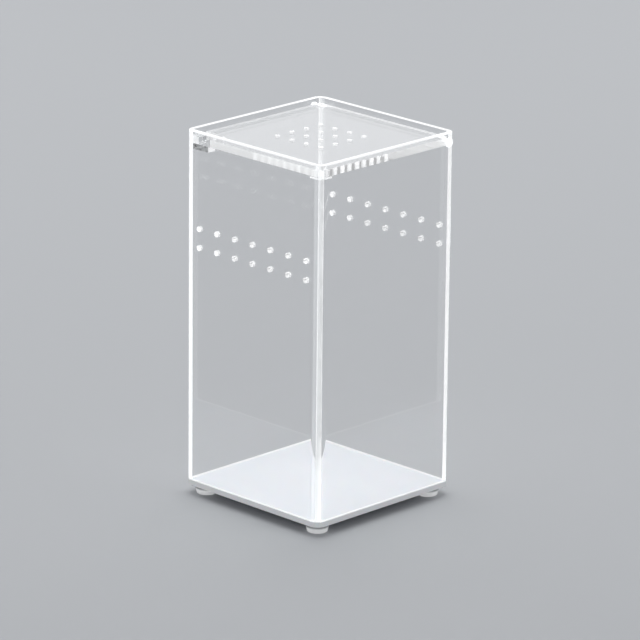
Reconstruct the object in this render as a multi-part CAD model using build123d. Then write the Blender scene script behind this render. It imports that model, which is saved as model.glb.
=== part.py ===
from build123d import *
import os

os.makedirs("parts", exist_ok=True)

# Overall size of the box. +X is the hinge side, -Y the front, Z is up from the table.
SIDE = 100.0
TOTAL_HEIGHT = 200.0
CORNER_RADIUS = 5.5
EDGE_BREAK = 0.4

# Sheet thicknesses
WALL = 3.0
BASE_THICKNESS = 3.0
LID_THICKNESS = 4.0

# Lid: how deep it lies below the rim, the gap round it and the run of its hinge
LID_DROP = 2.9
LID_GAP = 0.4
LID_CORNER_RADIUS = 3.2
LID_EDGE_ROUND = 1.9
HINGE_FROM_WALL = 3.0
NOTCH_RADIUS = 10.0
NOTCH_FROM_WALL = 4.0

# Hinge pins, one in the front wall and one in the rear wall
PIN_DIAMETER = 2.0
PIN_DEPTH_IN_LID = 6.0
PIN_BORE_EXTRA_DEPTH = 0.6
PIN_RUNNING_FIT = 0.06
PIN_HEAD_DIAMETER = 5.0
PIN_HEAD_HEIGHT = 0.8
PIN_HEAD_BREAK = 0.25
PIN_TIP_BREAK = 0.3

# Rest block under the lid's notched corner, and the small stop block that stands on it
REST_ALONG_X = 11.5
REST_ALONG_Y = 13.0
REST_HEIGHT = 3.0
REST_BREAK = 0.5
REST_GAP = 0.05
STOP_SIDE = 5.7

# Rest pad in the front left corner: a thin quarter round
PAD_RADIUS = 6.5
PAD_THICKNESS = 1.1

# Side vents: two rows of round holes in the left and right walls
VENT_DIAMETER = 3.0
VENT_COUNT = 7
VENT_PITCH = 13.1
VENT_ROWS = 2
VENT_ROW_PITCH = 10.3
VENT_DROP = 52.1

# Lid vents: a square grid of round holes
LID_VENT_DIAMETER = 2.6
LID_VENT_COUNT = 4
LID_VENT_PITCH = 10.6

# Feet: soft cones that taper to the table, each on a thin adhesive disc
FOOT_HEIGHT = 4.6
FOOT_TOP_DIAMETER = 12.6
FOOT_BOTTOM_DIAMETER = 11.0
FOOT_ROUND = 0.8
FOOT_INSET = 8.5
ADHESIVE_DIAMETER = 10.6
ADHESIVE_THICKNESS = 0.4

# Levels and half widths that follow from the sizes above
HALF = SIDE / 2
INNER_HALF = HALF - WALL
BASE_BOTTOM = FOOT_HEIGHT + ADHESIVE_THICKNESS
BASE_TOP = BASE_BOTTOM + BASE_THICKNESS
WALL_HEIGHT = TOTAL_HEIGHT - BASE_TOP
LID_TOP = TOTAL_HEIGHT - LID_DROP
LID_BOTTOM = LID_TOP - LID_THICKNESS
LID_HALF = INNER_HALF - LID_GAP
HINGE_X = INNER_HALF - HINGE_FROM_WALL
HINGE_Z = (LID_TOP + LID_BOTTOM) / 2
PIN_REACH = WALL + LID_GAP + PIN_DEPTH_IN_LID
REST_TOP = LID_BOTTOM - REST_GAP
VENT_TOP_ROW_Z = TOTAL_HEIGHT - VENT_DROP
VENT_MIDDLE_Z = VENT_TOP_ROW_Z - VENT_ROW_PITCH * (VENT_ROWS - 1) / 2
FOOT_AT = HALF - FOOT_INSET


def save(shape, name):
    export_step(shape, "parts/" + name + ".step")


def box_between(low, high):
    size = [b - a for a, b in zip(low, high)]
    middle = [(a + b) / 2 for a, b in zip(low, high)]
    return Pos(*middle) * Box(*size)


def round_plan(side, radius, bottom, height):
    outline = RectangleRounded(side, side, radius)
    return Pos(0, 0, bottom) * extrude(outline, amount=height)


def hole_grid(diameter, depth, x_pitch, y_pitch, x_count, y_count):
    return GridLocations(x_pitch, y_pitch, x_count, y_count) * Cylinder(diameter / 2, depth)


# Base plate: opaque white sheet with round corners, its lower outer edge broken
base = round_plan(SIDE, CORNER_RADIUS, BASE_BOTTOM, BASE_THICKNESS)
base = chamfer(base.faces().sort_by(Axis.Z)[0].edges(), EDGE_BREAK)
save(base, "base_plate")

# Tub outline: the round-cornered block that the four wall sheets are trimmed to
tub = round_plan(SIDE, CORNER_RADIUS, BASE_TOP, WALL_HEIGHT)
tub = chamfer(tub.faces().sort_by(Axis.Z)[-1].edges(), EDGE_BREAK)

# Side walls: full depth of the box, each with two rows of vents
side_sheet = box_between((INNER_HALF, -HALF, BASE_TOP), (HALF, HALF, TOTAL_HEIGHT))
side_wall = tub & side_sheet
vents = hole_grid(VENT_DIAMETER, 2 * WALL, VENT_ROW_PITCH, VENT_PITCH, VENT_ROWS, VENT_COUNT)
vents_in_wall = Pos(HALF - WALL / 2, 0, VENT_MIDDLE_Z) * Rot(0, 90, 0) * Compound(list(vents))
side_wall = side_wall - vents_in_wall
save(side_wall, "right_wall")
save(Rot(0, 0, 180) * side_wall, "left_wall")

# Front and rear walls: between the side walls, each bored through for one hinge pin
cross_sheet = box_between((-INNER_HALF, -HALF, BASE_TOP), (INNER_HALF, -INNER_HALF, TOTAL_HEIGHT))
cross_wall = tub & cross_sheet
pin_bore_in_wall = Pos(HINGE_X, 0, HINGE_Z) * Rot(90, 0, 0) * Cylinder(PIN_DIAMETER / 2, 2 * SIDE)
save(cross_wall - pin_bore_in_wall, "front_wall")
save(mirror(cross_wall, Plane.XZ) - pin_bore_in_wall, "rear_wall")

# Rest block: glued into the rear left corner, where it carries the lid round its notch
rest_low = (-INNER_HALF, INNER_HALF - REST_ALONG_Y, REST_TOP - REST_HEIGHT)
rest_high = (-INNER_HALF + REST_ALONG_X, INNER_HALF, REST_TOP)
rest = box_between(rest_low, rest_high)
rest_free_corner = rest.edges().filter_by(Axis.Z).sort_by(Axis.X)[-2:].sort_by(Axis.Y)[0]
rest = chamfer(rest_free_corner, REST_BREAK)
save(rest, "lid_rest_block")

# Stop block: glued on the rest block in the very corner, level with the lid's top face
stop_low = (-INNER_HALF, INNER_HALF - STOP_SIDE, REST_TOP)
stop_high = (-INNER_HALF + STOP_SIDE, INNER_HALF, LID_TOP)
save(box_between(stop_low, stop_high), "lid_stop_block")

# Rest pad: glued into the front left corner under the lid
pad_low = (-INNER_HALF, -INNER_HALF, REST_TOP - PAD_THICKNESS)
pad_high = (-INNER_HALF + PAD_RADIUS, -INNER_HALF + PAD_RADIUS, REST_TOP)
pad_round = Pos(-INNER_HALF, -INNER_HALF, REST_TOP) * Cylinder(PAD_RADIUS, 2 * LID_THICKNESS)
save(box_between(pad_low, pad_high) & pad_round, "front_rest_pad")

# Lid plate: square sheet with its hinge edge rounded and a round notch in its rear left corner
lid = round_plan(2 * LID_HALF, LID_CORNER_RADIUS, LID_BOTTOM, LID_THICKNESS)
hinge_edges = lid.faces().sort_by(Axis.X)[-1].edges().filter_by(Axis.Y)
lid = fillet(hinge_edges, LID_EDGE_ROUND)
notch_middle = Pos(-INNER_HALF, INNER_HALF - NOTCH_FROM_WALL, HINGE_Z)
lid = lid - notch_middle * Cylinder(NOTCH_RADIUS, 2 * LID_THICKNESS)
lid_vents = hole_grid(
    LID_VENT_DIAMETER,
    2 * LID_THICKNESS,
    LID_VENT_PITCH,
    LID_VENT_PITCH,
    LID_VENT_COUNT,
    LID_VENT_COUNT,
)
lid = lid - Pos(0, 0, HINGE_Z) * Compound(list(lid_vents))
bore_depth = PIN_DEPTH_IN_LID + PIN_BORE_EXTRA_DEPTH
bore = Cylinder(PIN_DIAMETER / 2 + PIN_RUNNING_FIT, 2 * bore_depth)
for end in (-1, 1):
    lid = lid - Pos(HINGE_X, end * LID_HALF, HINGE_Z) * Rot(90, 0, 0) * bore
save(lid, "lid_plate")

# Hinge pins: a short rod pushed through the wall into the lid, with a low round head outside
shank = Pos(0, 0, -PIN_REACH / 2) * Cylinder(PIN_DIAMETER / 2, PIN_REACH)
shank = chamfer(shank.edges().sort_by(Axis.Z)[0], PIN_TIP_BREAK)
head = Pos(0, 0, PIN_HEAD_HEIGHT / 2) * Cylinder(PIN_HEAD_DIAMETER / 2, PIN_HEAD_HEIGHT)
head = chamfer(head.edges().sort_by(Axis.Z)[-1], PIN_HEAD_BREAK)
pin = shank + head
save(Pos(HINGE_X, -HALF, HINGE_Z) * Rot(90, 0, 0) * pin, "front_hinge_pin")
save(Pos(HINGE_X, HALF, HINGE_Z) * Rot(-90, 0, 0) * pin, "rear_hinge_pin")

# Feet and the adhesive discs between them and the base plate
foot = Cone(FOOT_BOTTOM_DIAMETER / 2, FOOT_TOP_DIAMETER / 2, FOOT_HEIGHT)
foot = Pos(0, 0, FOOT_HEIGHT / 2) * foot
foot = fillet(foot.edges().sort_by(Axis.Z)[0], FOOT_ROUND)
disc = Pos(0, 0, FOOT_HEIGHT + ADHESIVE_THICKNESS / 2) * Cylinder(ADHESIVE_DIAMETER / 2, ADHESIVE_THICKNESS)
corners = {
    "front_left": (-FOOT_AT, -FOOT_AT),
    "front_right": (FOOT_AT, -FOOT_AT),
    "rear_left": (-FOOT_AT, FOOT_AT),
    "rear_right": (FOOT_AT, FOOT_AT),
}
for corner, (x, y) in corners.items():
    save(Pos(x, y, 0) * foot, corner + "_foot")
    save(Pos(x, y, 0) * disc, corner + "_adhesive_disc")
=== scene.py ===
import math

import bmesh
import bpy
from mathutils import Matrix, Vector


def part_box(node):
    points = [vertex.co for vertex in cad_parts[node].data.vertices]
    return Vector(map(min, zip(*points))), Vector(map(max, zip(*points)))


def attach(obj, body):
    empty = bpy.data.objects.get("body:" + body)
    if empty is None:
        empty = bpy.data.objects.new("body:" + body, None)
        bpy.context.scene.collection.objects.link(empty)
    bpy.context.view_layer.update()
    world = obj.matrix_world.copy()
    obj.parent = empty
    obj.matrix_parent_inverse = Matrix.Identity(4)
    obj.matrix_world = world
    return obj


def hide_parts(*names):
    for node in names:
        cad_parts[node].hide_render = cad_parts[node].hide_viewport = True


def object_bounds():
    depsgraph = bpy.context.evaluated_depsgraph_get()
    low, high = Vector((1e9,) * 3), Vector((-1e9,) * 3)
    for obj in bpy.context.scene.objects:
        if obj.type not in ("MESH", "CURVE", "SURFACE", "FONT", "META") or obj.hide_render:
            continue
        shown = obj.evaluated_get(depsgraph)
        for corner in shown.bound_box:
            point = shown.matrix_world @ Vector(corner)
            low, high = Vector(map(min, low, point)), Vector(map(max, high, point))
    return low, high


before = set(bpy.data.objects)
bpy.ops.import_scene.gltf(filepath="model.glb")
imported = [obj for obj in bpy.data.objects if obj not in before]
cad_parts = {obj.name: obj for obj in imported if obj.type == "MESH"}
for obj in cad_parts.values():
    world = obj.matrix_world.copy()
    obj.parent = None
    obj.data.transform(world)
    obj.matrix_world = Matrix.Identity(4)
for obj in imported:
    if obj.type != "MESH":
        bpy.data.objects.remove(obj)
cad_box = [list(corner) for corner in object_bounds()]
scene = bpy.context.scene
scene.view_settings.view_transform = "Standard"

# Camera: a long lens from the front left, aimed at the middle of the box and looking down by 18
# degrees, so the lid shows as a flat diamond and the upright edges stay almost parallel.
MM = 0.001
VIEW_DOWN = math.radians(17.55)
VIEW_TURN = math.radians(-45.3)
VIEW_ROLL = math.radians(0.59)
VIEW_DISTANCE = 2.6
VIEW_SIDE_STEP = 0.61 * MM
VIEW_CENTRE = Vector((0.0, 0.0, 96.5 * MM))

camera_data = bpy.data.cameras.new("camera")
camera_data.lens = 278.0
camera_data.sensor_width = 36.0
camera_data.clip_start = 0.05
camera_data.clip_end = 30.0
camera = bpy.data.objects.new("camera", camera_data)
scene.collection.objects.link(camera)
aim = Matrix.Rotation(VIEW_TURN, 4, "Z") @ Matrix.Rotation(math.pi / 2 - VIEW_DOWN, 4, "X")
aim = aim @ Matrix.Rotation(VIEW_ROLL, 4, "Z")
to_camera = aim.to_3x3() @ Vector((0.0, 0.0, 1.0))
to_right = aim.to_3x3() @ Vector((1.0, 0.0, 0.0))
stand = VIEW_CENTRE + to_camera * VIEW_DISTANCE + to_right * VIEW_SIDE_STEP
camera.matrix_world = Matrix.Translation(stand) @ aim
scene.camera = camera

# White base plate: opal white acrylic sheet, 3 mm thick, cut square with round corners.
# Its lower edge is broken by a small chamfer, and the four walls are cemented on top of it.
SIDE = 100.0 * MM
CORNER_RADIUS = 5.5 * MM
EDGE_BREAK = 0.4 * MM
ARRIS = 0.12 * MM
SAME_PLACE = 1e-5
ACRYLIC_IOR = 1.49


def linear(hex_colour):
    parts = [int(hex_colour[i : i + 2], 16) / 255 for i in (1, 3, 5)]
    bent = [p / 12.92 if p <= 0.04045 else ((p + 0.055) / 1.055) ** 2.4 for p in parts]
    return (*bent, 1.0)


def new_material(name):
    material = bpy.data.materials.new(name)
    material.use_nodes = True
    material.node_tree.nodes.clear()
    return material, material.node_tree


def add(tree, kind, inputs=(), **settings):
    made = tree.nodes.new(kind)
    for key, value in settings.items():
        setattr(made, key, value)
    for key, value in dict(inputs).items():
        if isinstance(value, bpy.types.NodeSocket):
            tree.links.new(value, made.inputs[key])
        else:
            made.inputs[key].default_value = value
    return made


def own_place(tree):
    """The point on the piece, in its own coordinates."""
    return add(tree, "ShaderNodeTexCoord").outputs["Object"]


def noise(tree, scale, **more):
    inputs = {"Vector": own_place(tree), "Scale": scale, **more}
    return add(tree, "ShaderNodeTexNoise", inputs).outputs[0]


def spread(tree, value, low, high, start=0.0, end=1.0):
    """Turns a value that runs from start to end into one that runs from low to high."""
    inputs = {0: value, 1: start, 2: end, 3: low, 4: high}
    return add(tree, "ShaderNodeMapRange", inputs).outputs[0]


def maths(tree, operation, *values):
    return add(tree, "ShaderNodeMath", dict(enumerate(values)), operation=operation).outputs[0]


def tint(tree, share, first, second):
    """Blends two colours, all first where the share is 0 and all second where it is 1."""
    return add(tree, "ShaderNodeMix", {0: share, 6: first, 7: second}, data_type="RGBA").outputs[2]


def cover(tree, inputs):
    """Gives a material one Principled surface."""
    skin = add(tree, "ShaderNodeBsdfPrincipled", inputs)
    add(tree, "ShaderNodeOutputMaterial", {0: skin.outputs[0]})


def select_only(piece):
    bpy.ops.object.select_all(action="DESELECT")
    piece.select_set(True)
    bpy.context.view_layer.objects.active = piece


def block(name, low, high):
    middle = [(a + b) / 2 for a, b in zip(low, high)]
    bpy.ops.object.select_all(action="DESELECT")
    bpy.ops.mesh.primitive_cube_add(size=1.0, location=middle)
    piece = bpy.context.object
    piece.name = name
    piece.data.name = name
    piece.scale = [b - a for a, b in zip(low, high)]
    bpy.ops.object.transform_apply(location=True, rotation=True, scale=True)
    return piece


def bevel_edges(piece, chosen, width, segments):
    select_only(piece)
    bpy.ops.object.mode_set(mode="EDIT")
    bpy.ops.mesh.select_mode(type="EDGE")
    bpy.ops.mesh.select_all(action="DESELECT")
    mesh = bmesh.from_edit_mesh(piece.data)
    for edge in mesh.edges:
        edge.select_set(chosen(edge.verts[0].co, edge.verts[1].co))
    bmesh.update_edit_mesh(piece.data)
    bpy.ops.mesh.bevel(offset=width, offset_type="OFFSET", segments=segments, profile=0.5)
    bpy.ops.object.mode_set(mode="OBJECT")


def upright(a, b):
    return abs(a.z - b.z) > 10 * SAME_PLACE


def at_level(z):
    return lambda a, b: abs(a.z - z) < SAME_PLACE and abs(b.z - z) < SAME_PLACE


def finish_mesh(piece, degrees=32.0):
    """Smooths the curved faces and keeps the broad ones truly flat."""
    select_only(piece)
    bpy.ops.object.shade_smooth_by_angle(angle=math.radians(degrees))
    even = piece.modifiers.new("even", "WEIGHTED_NORMAL")
    even.mode = "FACE_AREA"
    even.weight = 100
    even.keep_sharp = True
    bpy.ops.object.modifier_apply(modifier=even.name)


base_low, base_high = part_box("base_plate")
base = block("white_base_plate", base_low, base_high)
bevel_edges(base, upright, CORNER_RADIUS, 16)
bevel_edges(base, at_level(base_low[2]), EDGE_BREAK, 3)
bevel_edges(base, at_level(base_high[2]), ARRIS, 2)
finish_mesh(base, 60.0)

# Opal acrylic is dense white with a soft polish. The strip that the walls are cemented to is
# painted brightest, a painted glow for the light at the walls' foot, and the floor between them is
# a touch cooler, with faint wiping marks.
WALL_STRIP_START = 46.1 * MM
WALL_STRIP_END = 46.5 * MM

opal, tree = new_material("opal_white_acrylic_sheet")
place = add(tree, "ShaderNodeSeparateXYZ", {0: own_place(tree)}).outputs
far_x = maths(tree, "ABSOLUTE", place["X"])
far_y = maths(tree, "ABSOLUTE", place["Y"])
far = maths(tree, "MAXIMUM", far_x, far_y)
# Painted glow: the strip at and just inside the walls' foot is painted brighter than the floor.
painted_glow_strip = spread(tree, far, 0.0, 1.0, WALL_STRIP_START, WALL_STRIP_END)
marks = noise(tree, 45.0, Detail=4.0, Roughness=0.6)
floor_tone = tint(tree, marks, linear("#D8DBE1"), linear("#E3E5EA"))
cover(
    tree,
    {
        "Base Color": tint(tree, painted_glow_strip, floor_tone, linear("#FAFAFB")),
        "Roughness": spread(tree, marks, 0.16, 0.28),
        "IOR": ACRYLIC_IOR,
        "Subsurface Weight": 0.15,
        "Subsurface Scale": 1.0 * MM,
    },
)
base.data.materials.append(opal)
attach(base, "tub")
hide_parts("base_plate")

# Feet: soft clear silicone pads, moulded as low cones with a rounded lower edge.
# Each is held under the base plate by a thin round of clear double-sided adhesive.
FOOT_HEIGHT = 4.6 * MM
FOOT_TOP = 6.3 * MM
FOOT_BOTTOM = 5.5 * MM
FOOT_ROUND = 0.8 * MM
DISC_RADIUS = 5.3 * MM
TURN_STEPS = 48
RIM_ROUND = 0.3 * MM
RIM_WIDTH = 1.6 * MM


def turned(name, outline, at):
    """Spins an outline of (radius, height) points about an upright axis through the point."""
    bpy.ops.object.select_all(action="DESELECT")
    bpy.ops.mesh.primitive_plane_add(size=1.0, location=(0, 0, 0))
    piece = bpy.context.object
    piece.name = name
    piece.data.name = name
    mesh = bmesh.new()
    points = [mesh.verts.new((at[0] + r, at[1], at[2] + z)) for r, z in outline]
    for a, b in zip(points, points[1:]):
        mesh.edges.new((a, b))
    mesh.to_mesh(piece.data)
    mesh.free()
    bpy.ops.object.mode_set(mode="EDIT")
    bpy.ops.mesh.select_all(action="SELECT")
    bpy.ops.mesh.spin(steps=TURN_STEPS, angle=2 * math.pi, center=at, axis=(0, 0, 1))
    bpy.ops.mesh.select_all(action="SELECT")
    bpy.ops.mesh.remove_doubles(threshold=1e-6)
    bpy.ops.mesh.normals_make_consistent(inside=False)
    bpy.ops.object.mode_set(mode="OBJECT")
    return piece


def arc(centre, radius, start, end, steps):
    turns = [math.radians(start + (end - start) * i / steps) for i in range(steps + 1)]
    return [(centre[0] + radius * math.cos(t), centre[1] + radius * math.sin(t)) for t in turns]


foot_outline = [(0.0, 0.0)]
foot_outline += arc((FOOT_BOTTOM - FOOT_ROUND, FOOT_ROUND), FOOT_ROUND, -90, -10, 6)
foot_outline += arc((FOOT_TOP - RIM_ROUND, FOOT_HEIGHT - RIM_ROUND), RIM_ROUND, 0, 90, 4)
foot_outline += [(FOOT_TOP - RIM_WIDTH, FOOT_HEIGHT), (0.0, FOOT_HEIGHT)]

# Clear silicone is softly cloudy and satin, so it passes light but shows no sharp picture. The
# foot's lower part is painted nearly white with a painted glow, for the light that gathers there,
# and its upper rim is painted greyer as painted shade.
RIM_SHADE_START = 2.4 * MM
RIM_SHADE_END = 3.6 * MM

silicone, tree = new_material("moulded_clear_silicone_painted_light")
place = add(tree, "ShaderNodeSeparateXYZ", {0: own_place(tree)}).outputs
cloud = noise(tree, 350.0, Detail=3.0)
# Painted light by height: the lower part is painted white with a painted glow and the upper rim
# grey as painted shade.
height = spread(tree, place["Z"], 0.0, 1.0, RIM_SHADE_START, RIM_SHADE_END)
lower = tint(tree, cloud, linear("#E9ECED"), linear("#FFFFFF"))
grain = add(tree, "ShaderNodeBump", {"Strength": 0.25, "Distance": 0.05 * MM, "Height": cloud})
cover(
    tree,
    {
        "Base Color": tint(tree, height, lower, linear("#94989B")),
        "Roughness": 0.24,
        "IOR": 1.41,
        "Transmission Weight": 0.45,
        "Emission Color": linear("#FFFFFF"),
        "Emission Strength": spread(tree, height, 0.2, 0.0),
        "Normal": grain.outputs[0],
    },
)

# The adhesive reads as a darker grey ring between the foot and the plate.
adhesive, tree = new_material("clear_double_sided_adhesive")
bubbles = noise(tree, 900.0)
cover(
    tree,
    {
        "Base Color": tint(tree, bubbles, linear("#5A5C5E"), linear("#8C8F92")),
        "Roughness": 0.5,
        "IOR": 1.47,
        "Transmission Weight": 0.3,
    },
)

for corner in ("front_left", "front_right", "rear_left", "rear_right"):
    low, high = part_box(corner + "_foot")
    middle = ((low[0] + high[0]) / 2, (low[1] + high[1]) / 2, low[2])
    foot = turned("silicone_foot_" + corner, foot_outline, middle)
    foot.data.materials.append(silicone)
    finish_mesh(foot, 40.0)
    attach(foot, "tub")
    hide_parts(corner + "_foot")
    low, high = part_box(corner + "_adhesive_disc")
    thick = high[2] - low[2]
    disc_outline = [(0.0, 0.0)]
    disc_outline += arc((DISC_RADIUS - thick / 2, thick / 2), thick / 2, -90, 90, 6)
    disc_outline += [(0.0, thick)]
    disc = turned("adhesive_disc_" + corner, disc_outline, (*middle[:2], low[2]))
    disc.data.materials.append(adhesive)
    finish_mesh(disc, 40.0)
    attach(disc, "tub")
    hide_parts(corner + "_adhesive_disc")

# Walls: clear cast acrylic sheet, 3 mm thick, laser cut and flame polished, cemented edge to face.
# The side walls run the full depth, and the front and rear walls stand between them. The cemented
# box was then trimmed as one, so its corners are round and its rim has a small outer chamfer.
WALL = 3.0 * MM
HALF = SIDE / 2
INNER_HALF = HALF - WALL
CEMENT = 0.02 * MM
HIGHLIGHT_STRIP_WIDTH = 1.6 * MM
HIGHLIGHT_LINE_AT = 45.9 * MM
SPARE = 2.0 * MM
WALL_BOTTOM = base_high[2]
RIM = cad_box[1][2]


def cut(piece, tool, operation):
    """Booleans the piece with a tool that is then thrown away."""
    select_only(piece)
    change = piece.modifiers.new("cut", "BOOLEAN")
    change.operation = operation
    change.solver = "EXACT"
    change.object = tool
    bpy.ops.object.modifier_apply(modifier=change.name)
    bpy.data.objects.remove(tool)


def soften(piece, width=ARRIS):
    select_only(piece)
    change = piece.modifiers.new("arris", "BEVEL")
    change.width = width
    change.segments = 2
    change.limit_method = "ANGLE"
    change.angle_limit = math.radians(35.0)
    change.use_clamp_overlap = True
    change.harden_normals = False
    bpy.ops.object.modifier_apply(modifier=change.name)


def drill(piece, places, direction, diameter, depth, sides=40):
    """Bores round holes of one diameter at all the places."""
    for place in places:
        turn = Vector((0, 0, 1)).rotation_difference(Vector(direction)).to_euler()
        bpy.ops.object.select_all(action="DESELECT")
        bpy.ops.mesh.primitive_cylinder_add(
            vertices=sides, radius=diameter / 2, depth=depth, location=place, rotation=turn
        )
        bit = bpy.context.object
        bpy.ops.object.transform_apply(location=True, rotation=True, scale=True)
        cut(piece, bit, "DIFFERENCE")


def score(piece, place, across):
    """Divides the faces along a plane without opening them."""
    select_only(piece)
    bpy.ops.object.mode_set(mode="EDIT")
    bpy.ops.mesh.select_all(action="SELECT")
    bpy.ops.mesh.bisect(plane_co=place, plane_no=across)
    bpy.ops.object.mode_set(mode="OBJECT")


def trimmed_sheet(name, low, high):
    """A sheet of the wall's thickness, cut to the round-cornered outline of the whole box."""
    blank = block("trimming_blank", (-HALF, -HALF, WALL_BOTTOM - SPARE), (HALF, HALF, RIM))
    bevel_edges(blank, upright, CORNER_RADIUS, 20)
    bevel_edges(blank, at_level(RIM), EDGE_BREAK, 4)
    piece = block(name, low, high)
    cut(piece, blank, "INTERSECT")
    return piece


# Cast acrylic is water clear with a hard polish, and a trace of wiping shows as faint haze.
# Lamps shine straight through it on to the white floor.
clear, tree = new_material("clear_cast_acrylic_sheet")
wiped = noise(tree, 22.0, Detail=5.0, Roughness=0.65)
skin = add(
    tree,
    "ShaderNodeBsdfPrincipled",
    {
        "Base Color": linear("#FEFEFE"),
        "Roughness": spread(tree, wiped, 0.0, 0.03, 0.4, 0.8),
        "IOR": ACRYLIC_IOR,
        "Transmission Weight": 1.0,
    },
)
to_lamps = add(tree, "ShaderNodeBsdfTransparent", {0: linear("#FBFCFC")})
shadow_ray = add(tree, "ShaderNodeLightPath").outputs["Is Shadow Ray"]
both = add(
    tree, "ShaderNodeMixShader", {0: shadow_ray, 1: skin.outputs[0], 2: to_lamps.outputs[0]}
)
add(tree, "ShaderNodeOutputMaterial", {0: both.outputs[0]})

# A cut edge is given a painted white glow, for the light that runs inside the sheet and comes out
# there, with fine cross lines left by the laser.
edge, tree = new_material("flame_polished_cut_edge_painted_glow")
ripple = noise(tree, 700.0, Detail=2.0)
lines = add(tree, "ShaderNodeBump", {"Strength": 0.2, "Distance": 0.05 * MM, "Height": ripple})
cover(
    tree,
    {
        "Base Color": tint(tree, ripple, linear("#F4F6F7"), linear("#FFFFFF")),
        "Roughness": 0.12,
        "IOR": ACRYLIC_IOR,
        "Transmission Weight": 0.3,
        "Emission Color": linear("#FFFFFF"),
        "Emission Strength": 0.35,
        "Normal": lines.outputs[0],
    },
)


def milled_finish(name, tone, scale, detail, roughness, passes, painted_glow):
    """A worked acrylic face: clear, cloudy by its tool marks, with a painted glow for the light in
    the sheet.
    """
    made, tree = new_material(name)
    marks = noise(tree, scale, Detail=detail)
    cover(
        tree,
        {
            "Base Color": linear(tone),
            "Roughness": spread(tree, marks, *roughness),
            "IOR": ACRYLIC_IOR,
            "Transmission Weight": passes,
            "Emission Color": linear("#FFFFFF"),
            "Emission Strength": painted_glow,
        },
    )
    return made


# The lid's edges toward the front and rear walls are polished clear, so the vents show through them
# as darker dashes in a bright band, which a painted glow on the edges makes brighter.
polished = milled_finish("diamond_polished_edge_painted_glow", "#FBFCFD", 260.0, 2.0, (0.01, 0.06), 0.75, 0.2)

# The side walls' round ends are taken as sanded before they were polished, so they stay a little
# cloudy, most where the end is squarest, and a painted glow on them makes a soft light band up each
# corner.
wall_end = milled_finish("sanded_wall_end_painted_glow", "#F7F9FA", 500.0, 3.0, (0.08, 0.2), 0.68, 0.16)
wall_round = milled_finish("sanded_wall_round_painted_glow", "#F7F9FA", 500.0, 3.0, (0.03, 0.1), 0.84, 0.12)

# A drilled bore is rougher than the sheet's face and has a painted glow for the light it collects
# inside the sheet, so each hole shows as a white dot with a small grey shade where it is seen
# through.
bored = milled_finish("drilled_bore_wall_painted_glow", "#FAFBFB", 900.0, 2.0, (0.1, 0.3), 0.6, 0.3)

# The cemented seam has no air in it, so light crosses it unbent. The dried solvent leaves a milky
# cast with a painted glow. The front right and rear left seams are painted white along their
# length, painted light for the bright outer corners of the box. In the other two the cast is thick
# only near the base, and a round spot beside the rest pad is painted white as a painted highlight.
PAINTED_SPOT = Vector((-47.0, -47.0, 194.9)) * MM
PAINTED_SPOT_RADIUS = 2.2 * MM
PAINTED_SPOT_FADE = 0.5 * MM
BASE_MILK_TOP = 24 * MM
BASE_MILK_END = 56 * MM


def painted_highlight_spot(tree, place):
    """Gives 1 inside the round spot beside the rest pad that is painted white as a painted
    highlight, and 0 away from it.
    """
    here = add(tree, "ShaderNodeCombineXYZ", {i: place[i] for i in range(3)}).outputs[0]
    reach = add(tree, "ShaderNodeVectorMath", {0: here, 1: PAINTED_SPOT}, operation="DISTANCE")
    spot_end = PAINTED_SPOT_RADIUS + PAINTED_SPOT_FADE
    return spread(tree, reach.outputs["Value"], 1.0, 0.0, PAINTED_SPOT_RADIUS, spot_end)


def painted_light_corner(tree, place):
    """Gives 1 at the front right and rear left corners and 0 at the other two, for the white
    painted there as painted light.
    """
    return maths(tree, "LESS_THAN", maths(tree, "MULTIPLY", place["X"], place["Y"]), 0.0)


def cement(tree, share, tone, painted_glow):
    """Dried cement with a painted glow over a share of the face, with light crossing the rest of it
    unbent.
    """
    straight = add(tree, "ShaderNodeBsdfTransparent", {0: linear("#FFFFFF")})
    skin = add(
        tree,
        "ShaderNodeBsdfPrincipled",
        {
            "Base Color": linear(tone),
            "Roughness": 0.5,
            "Specular IOR Level": 0.0,
            "Emission Color": linear("#FFFFFF"),
            "Emission Strength": painted_glow,
        },
    )
    both = add(tree, "ShaderNodeMixShader", {0: share, 1: straight.outputs[0], 2: skin.outputs[0]})
    add(tree, "ShaderNodeOutputMaterial", {0: both.outputs[0]})


seam, tree = new_material("solvent_cement_seam_painted_light")
milk = noise(tree, 160.0, Detail=3.0)
place = add(tree, "ShaderNodeSeparateXYZ", {0: own_place(tree)}).outputs
# The white share is painted light on the front right and rear left corners and at the spot by the
# rest pad.
thick = maths(tree, "MAXIMUM", painted_light_corner(tree, place), painted_highlight_spot(tree, place))
low_down = spread(tree, place["Z"], 0.85, 0.0, BASE_MILK_TOP, BASE_MILK_END)
thick = maths(tree, "MAXIMUM", thick, low_down)
least = spread(tree, thick, 0.25, 0.88)
most = spread(tree, thick, 0.4, 0.96)
cement(tree, spread(tree, milk, least, most, 0.3, 0.7), "#FCFDFD", 0.45)

# Beside the front left seam runs a fine white line painted as a highlight along the cement, with
# the strip round it wetted clear. Beside the milky front right and rear left seams the whole strip
# is painted white as painted light for the bright outer corners.
HIGHLIGHT_HALF_WIDTH = 0.18 * MM
HIGHLIGHT_LINE_END = 0.32 * MM

highlight_strip, tree = new_material("cement_strip_painted_highlight")
place = add(tree, "ShaderNodeSeparateXYZ", {0: own_place(tree)}).outputs
far_y = maths(tree, "ABSOLUTE", place["Y"])
from_bead = maths(tree, "ABSOLUTE", maths(tree, "SUBTRACT", far_y, HIGHLIGHT_LINE_AT))
left_side = maths(tree, "LESS_THAN", place["X"], 0.0)
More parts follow.
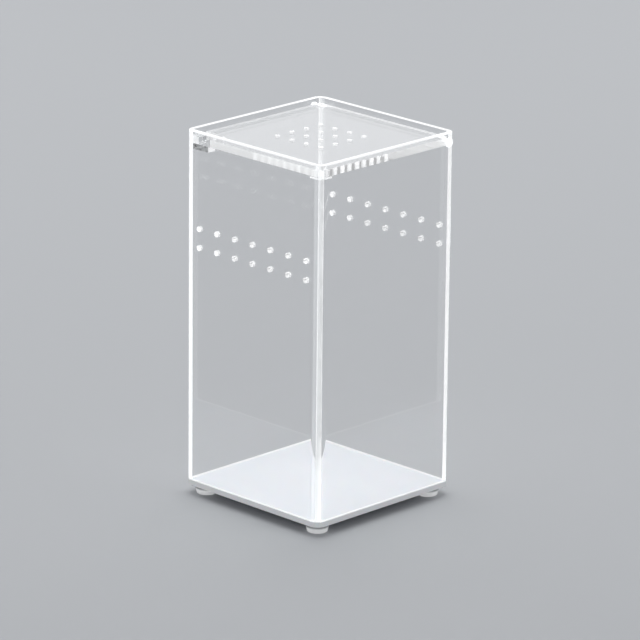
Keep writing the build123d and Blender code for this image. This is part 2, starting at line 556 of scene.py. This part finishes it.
# A fine line painted as a highlight, strong beside the left wall's seams and faint beside the right
# wall's.
peak = spread(tree, left_side, 0.2, 0.9)
painted_highlight_line = spread(tree, from_bead, peak, 0.14, HIGHLIGHT_HALF_WIDTH, HIGHLIGHT_LINE_END)
# Painted light: the front right and rear left strips and the spot by the rest pad are painted
# white.
painted_light_share = maths(tree, "MAXIMUM", painted_light_corner(tree, place), painted_highlight_spot(tree, place))
highlight_share = add(tree, "ShaderNodeMix", {0: painted_light_share, 2: painted_highlight_line, 3: 0.92}).outputs[0]
cement(tree, highlight_share, "#FCFDFD", 0.5)

# The film of cement behind the small blocks is thin and patchy and has a faint painted glow, so
# they look pale grey.
film, tree = new_material("thin_patchy_cement_film")
patches = noise(tree, 420.0, Detail=3.0)
cement(tree, spread(tree, patches, 0.15, 0.65, 0.3, 0.7), "#EEF1F2", 0.15)

# Under a wall the cement wets the white plate, so the wall's foot shows the plate's own white.
foot_bond, tree = new_material("white_plate_behind_cement")
wet = noise(tree, 120.0)
cover(
    tree,
    {
        "Base Color": tint(tree, wet, linear("#F6F7F8"), linear("#FEFEFE")),
        "Roughness": 0.4,
        "IOR": ACRYLIC_IOR,
    },
)

SHEET_SLOTS = [
    clear,
    edge,
    seam,
    foot_bond,
    bored,
    highlight_strip,
    film,
    polished,
    wall_end,
    wall_round,
]
CLEAR, EDGE, SEAM, BOND, BORE, HIGHLIGHT_STRIP, FILM, POLISHED, WALL_END, WALL_ROUND = range(10)

# Limits on a face's normal that tell which kind of surface it is
SQUARE_ON = 0.99
FACING = 0.9
LEANING = 0.3
SIDEWAYS = 0.05
ROUND_START = 0.17
END_START = 0.55


def sort_faces(piece, kind_of):
    piece.data.materials.clear()
    for material in SHEET_SLOTS:
        piece.data.materials.append(material)
    for face in piece.data.polygons:
        face.material_index = kind_of(face.center, face.normal, face.area)


VENT_DIAMETER = 3.0 * MM
VENT_PITCH = 13.1 * MM
VENT_ROWS = (147.9 * MM, 137.6 * MM)
OUTER_BREAK = 0.3 * MM
RIM_BAND = 5 * MM
vent_places = [(VENT_PITCH * step, z) for z in VENT_ROWS for step in range(-3, 4)]

for side, sign in (("left", -1), ("right", 1)):
    near, away = sorted((sign * INNER_HALF, sign * (HALF + SPARE)))
    wall = trimmed_sheet(
        "clear_wall_" + side,
        (near, -HALF - SPARE, WALL_BOTTOM + CEMENT),
        (away, HALF + SPARE, RIM + SPARE),
    )
    drill(
        wall,
        [(sign * (HALF - WALL / 2), y, z) for y, z in vent_places],
        (1, 0, 0),
        VENT_DIAMETER,
        3 * WALL,
    )
    soften(wall)
    for y in (INNER_HALF, INNER_HALF - HIGHLIGHT_STRIP_WIDTH):
        score(wall, (0, y, 0), (0, 1, 0))
        score(wall, (0, -y, 0), (0, 1, 0))

    def side_kind(centre, normal, area, sign=sign):
        if normal.z < -FACING:
            return BOND
        if normal.z > LEANING:
            return EDGE
        if abs(centre.x - sign * INNER_HALF) < SAME_PLACE and abs(normal.x) > FACING:
            if abs(centre.y) > INNER_HALF:
                return SEAM
            return HIGHLIGHT_STRIP if abs(centre.y) > INNER_HALF - HIGHLIGHT_STRIP_WIDTH else CLEAR
        at_end = abs(centre.y) > HALF - CORNER_RADIUS - SAME_PLACE
        if at_end and normal.x * sign > SIDEWAYS:
            if abs(normal.y) < ROUND_START:
                return CLEAR
            return WALL_END if abs(normal.y) > END_START else WALL_ROUND
        inside = HALF - centre.x * sign > OUTER_BREAK and centre.z < RIM - RIM_BAND
        if inside and abs(normal.x) < SIDEWAYS:
            return BORE
        return CLEAR if abs(normal.x) > SQUARE_ON else EDGE

    sort_faces(wall, side_kind)
    finish_mesh(wall, 60.0)
    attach(wall, "tub")
    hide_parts(side + "_wall")

PIN_DIAMETER = 2.0 * MM
HINGE_X = 44.0 * MM
HINGE_Z = 195.1 * MM
SEAM_MARGIN = 1 * MM
HALF_WAY_OUT = 0.5

for side, sign in (("front", -1), ("rear", 1)):
    near, away = sorted((sign * INNER_HALF, sign * (HALF + SPARE)))
    wall = trimmed_sheet(
        "clear_wall_" + side,
        (-INNER_HALF + CEMENT, near, WALL_BOTTOM + CEMENT),
        (INNER_HALF - CEMENT, away, RIM + SPARE),
    )
    pin_place = (HINGE_X, sign * (HALF - WALL / 2), HINGE_Z)
    drill(wall, [pin_place], (0, 1, 0), PIN_DIAMETER, 3 * WALL)
    soften(wall)

    def cross_kind(centre, normal, area, sign=sign):
        if normal.z < -FACING:
            return BOND
        if normal.z > LEANING:
            return EDGE
        if abs(normal.x) > FACING and abs(centre.x) > INNER_HALF - 2 * CEMENT:
            return SEAM
        at_end = abs(centre.x) > HALF - CORNER_RADIUS - SAME_PLACE
        if at_end and normal.y * sign > HALF_WAY_OUT:
            return CLEAR
        if abs(normal.y) < SIDEWAYS and abs(centre.x) < INNER_HALF - SEAM_MARGIN:
            return BORE
        return CLEAR if abs(normal.y) > SQUARE_ON else EDGE

    sort_faces(wall, cross_kind)
    finish_mesh(wall, 60.0)
    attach(wall, "tub")
    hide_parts(side + "_wall")

# Rest block: an offcut of the 3 mm clear sheet, cemented into the rear left corner under the lid.
# The lid lies on its margin round the notch, and its sawn sides are polished clear.
REST_BREAK = 0.5 * MM
BROAD_FACE = 1e-6

rest_low, rest_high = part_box("lid_rest_block")
rest = block("clear_rest_block", rest_low, rest_high)


def free_corner(a, b):
    corner_at = (rest_high[0], rest_low[1])
    return all(math.dist(p.xy, corner_at) < SAME_PLACE for p in (a, b))


bevel_edges(rest, free_corner, REST_BREAK, 1)
rest.data.transform(Matrix.Translation((CEMENT, -CEMENT, 0)))
soften(rest)


def rest_kind(centre, normal, area):
    if normal.x < -FACING:
        return FILM
    return CLEAR if area > BROAD_FACE else EDGE


sort_faces(rest, rest_kind)
finish_mesh(rest, 60.0)
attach(rest, "tub")
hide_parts("lid_rest_block")

# Stop block: a small square of the lid's own 4 mm sheet, cemented on the rest block in the corner.
# Its side against the left wall kept its white sawn face, which has the cut edge's painted glow,
# and the others are clear.
stop_low, stop_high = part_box("lid_stop_block")
stop = block("clear_stop_block", stop_low, stop_high)
stop.data.transform(Matrix.Translation((CEMENT, -CEMENT, 0)))
soften(stop)


def stop_kind(centre, normal, area):
    if normal.x < -FACING:
        return EDGE
    if normal.z < -FACING:
        return FILM
    return CLEAR if area > BROAD_FACE else EDGE


sort_faces(stop, stop_kind)
finish_mesh(stop, 60.0)
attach(stop, "tub")
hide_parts("lid_stop_block")

# Rest pad: a thin quarter round of clear sheet cemented into the front left corner.
# The lid's other free corner lies on it.
PAD_RADIUS = 6.5 * MM
JUST_SHORT = 0.9999

pad_low, pad_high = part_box("front_rest_pad")
pad = block("clear_front_rest_pad", pad_low, pad_high)


def far_corner(a, b):
    return all(math.dist(p.xy, pad_high[:2]) < SAME_PLACE for p in (a, b))


bevel_edges(pad, far_corner, PAD_RADIUS * JUST_SHORT, 20)
pad.data.transform(Matrix.Translation((CEMENT, CEMENT, 0)))
soften(pad)


def pad_kind(centre, normal, area):
    return CLEAR if abs(normal.z) > FACING else EDGE


sort_faces(pad, pad_kind)
finish_mesh(pad, 60.0)
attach(pad, "tub")
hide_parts("front_rest_pad")

# Lid: clear cast acrylic sheet, 4 mm thick, with a grid of small vents in its middle. Its hinge
# edge is rounded so that it can swing, and a round notch for a fingertip is cut out of its rear
# left corner.
LID_CORNER_RADIUS = 3.2 * MM
LID_EDGE_ROUND = 1.9 * MM
NOTCH_RADIUS = 10.0 * MM
NOTCH_FROM_WALL = 4.0 * MM
LID_VENT_DIAMETER = 2.6 * MM
LID_VENT_PITCH = 10.6 * MM
PIN_BORE = 2.12 * MM
PIN_BORE_DEPTH = 6.6 * MM
DRILL_LENGTH = 12 * MM
LID_RIM = 0.2 * MM
VENT_FIELD_RADIUS = 30 * MM

lid_low, lid_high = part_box("lid_plate")
lid = block("clear_lid_plate", lid_low, lid_high)
bevel_edges(lid, upright, LID_CORNER_RADIUS, 12)


def hinge_edge(a, b):
    level = abs(a.z - b.z) < SAME_PLACE / 10
    return level and min(a.x, b.x) > lid_high[0] - SAME_PLACE


bevel_edges(lid, hinge_edge, LID_EDGE_ROUND, 10)
notch_middle = (-INNER_HALF, INNER_HALF - NOTCH_FROM_WALL, HINGE_Z)
drill(lid, [notch_middle], (0, 0, 1), 2 * NOTCH_RADIUS, DRILL_LENGTH, 128)
grid = [LID_VENT_PITCH * (step - 1.5) for step in range(4)]
lid_middle = (lid_low[2] + lid_high[2]) / 2
lid_vents = [(x, y, lid_middle) for x in grid for y in grid]
drill(lid, lid_vents, (0, 0, 1), LID_VENT_DIAMETER, DRILL_LENGTH)
drill(
    lid,
    [(HINGE_X, lid_low[1], HINGE_Z), (HINGE_X, lid_high[1], HINGE_Z)],
    (0, 1, 0),
    PIN_BORE,
    2 * PIN_BORE_DEPTH,
)
soften(lid)


def lid_kind(centre, normal, area):
    if abs(normal.z) > SQUARE_ON:
        return CLEAR
    inside = max(abs(centre.x), abs(centre.y)) < lid_high[0] - LID_RIM
    if inside and abs(normal.z) < SIDEWAYS:
        return BORE if centre.xy.length < VENT_FIELD_RADIUS or centre.x > 0 else POLISHED
    return POLISHED if abs(normal.y) > SQUARE_ON else EDGE


sort_faces(lid, lid_kind)
finish_mesh(lid, 60.0)
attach(lid, "lid")
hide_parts("lid_plate")

# Hinge pins: short turned rods of clear acrylic with a low round head, pushed through the front and
# rear walls into the ends of the lid.
PIN_REACH = 9.4 * MM
PIN_TIP_BREAK = 0.3 * MM
HEAD_RADIUS = 2.5 * MM
HEAD_HEIGHT = 0.8 * MM
HEAD_BREAK = 0.25 * MM
PRESS_FIT = 0.01 * MM

# Turned acrylic shows fine rings round its axis and scatters some light, and a painted glow makes
# it look nearly white.
rod, tree = new_material("turned_clear_acrylic_rod_painted_glow")
centred = add(tree, "ShaderNodeMapping", {0: own_place(tree), 1: (-HINGE_X, 0.0, -HINGE_Z)})
rings = add(
    tree,
    "ShaderNodeTexWave",
    {"Vector": centred.outputs[0], "Scale": 1600.0, "Distortion": 0.6},
    wave_type="RINGS",
    rings_direction="Y",
).outputs[1]
turned_lines = add(
    tree, "ShaderNodeBump", {"Strength": 0.15, "Distance": 0.02 * MM, "Height": rings}
)
cover(
    tree,
    {
        "Base Color": tint(tree, rings, linear("#EDF0F1"), linear("#FFFFFF")),
        "Roughness": 0.12,
        "IOR": ACRYLIC_IOR,
        "Transmission Weight": 0.5,
        "Emission Color": linear("#FFFFFF"),
        "Emission Strength": 0.3,
        "Normal": turned_lines.outputs[0],
    },
)

pin_outline = [
    (0.0, -PIN_REACH),
    (PIN_DIAMETER / 2 - PIN_TIP_BREAK, -PIN_REACH),
    (PIN_DIAMETER / 2 - PRESS_FIT, -PIN_REACH + PIN_TIP_BREAK),
    (PIN_DIAMETER / 2 - PRESS_FIT, PRESS_FIT),
    (HEAD_RADIUS, PRESS_FIT),
]
pin_outline += arc((HEAD_RADIUS - HEAD_BREAK, HEAD_HEIGHT - HEAD_BREAK), HEAD_BREAK, 0, 90, 5)
pin_outline += [(0.0, HEAD_HEIGHT)]
for side, sign in (("front", -1), ("rear", 1)):
    pin = turned("clear_hinge_pin_" + side, pin_outline, (0.0, 0.0, 0.0))
    lay_down = Matrix.Rotation(math.radians(-sign * 90), 4, "X")
    pin.data.transform(Matrix.Translation((HINGE_X, sign * HALF, HINGE_Z)) @ lay_down)
    pin.data.materials.append(rod)
    finish_mesh(pin, 40.0)
    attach(pin, "tub")
    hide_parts(side + "_hinge_pin")

# Set: a pale grey seamless floor under soft studio light.
FLOOR_HALF = 6.0

bpy.ops.object.select_all(action="DESELECT")
bpy.ops.mesh.primitive_plane_add(size=2 * FLOOR_HALF, location=(0, 0, 0))
floor = bpy.context.object
floor.name = "studio_floor"
paper, tree = new_material("pale_grey_backdrop_paper")
cover(tree, {"Base Color": linear("#BABCBF"), "Roughness": 0.8, "IOR": 1.45})
floor.data.materials.append(paper)


def softbox(name, place, target, width, height, power):
    data = bpy.data.lights.new(name, "AREA")
    data.shape = "RECTANGLE"
    data.size = width
    data.size_y = height
    data.energy = power
    data.color = linear("#FFFFFF")[:3]
    lamp = bpy.data.objects.new(name, data)
    scene.collection.objects.link(lamp)
    facing = (Vector(target) - Vector(place)).to_track_quat("-Z", "Y")
    lamp.matrix_world = Matrix.Translation(place) @ facing.to_matrix().to_4x4()
    lamp.visible_camera = False


softbox("overhead_softbox", (0.2, 0.3, 1.9), (0, 0, 0.1), 1.6, 1.6, 18.0)
softbox("left_softbox", (-1.9, -0.7, 0.9), (0, 0, 0.1), 1.0, 1.4, 5.0)
softbox("front_right_panel", (0.9, -1.7, 0.9), (0, 0, 0.1), 1.0, 1.2, 3.0)
softbox("back_softbox", (1.4, 1.45, 0.95), (0, 0, 0.15), 2.4, 0.9, 4.0)
softbox("rear_left_panel", (0.30, 1.65, 0.55), (0, 0, 0.1), 1.1, 1.1, 4.0)
softbox("rear_right_panel", (1.65, 0.35, 0.55), (0, 0, 0.1), 1.1, 1.1, 4.0)

world = bpy.data.worlds.new("studio_air")
scene.world = world
world.use_nodes = True
tree = world.node_tree
tree.nodes.clear()
ray = add(tree, "ShaderNodeLightPath").outputs
seen = maths(tree, "MAXIMUM", ray["Is Camera Ray"], ray["Is Glossy Ray"])
seen = maths(tree, "MAXIMUM", seen, ray["Is Transmission Ray"])
air = add(tree, "ShaderNodeBackground", {0: linear("#D8DADD"), 1: 0.5})
backdrop = add(tree, "ShaderNodeBackground", {0: linear("#BCBEC1"), 1: 1.0})
both = add(tree, "ShaderNodeMixShader", {0: seen, 1: air.outputs[0], 2: backdrop.outputs[0]})
add(tree, "ShaderNodeOutputWorld", {0: both.outputs[0]})
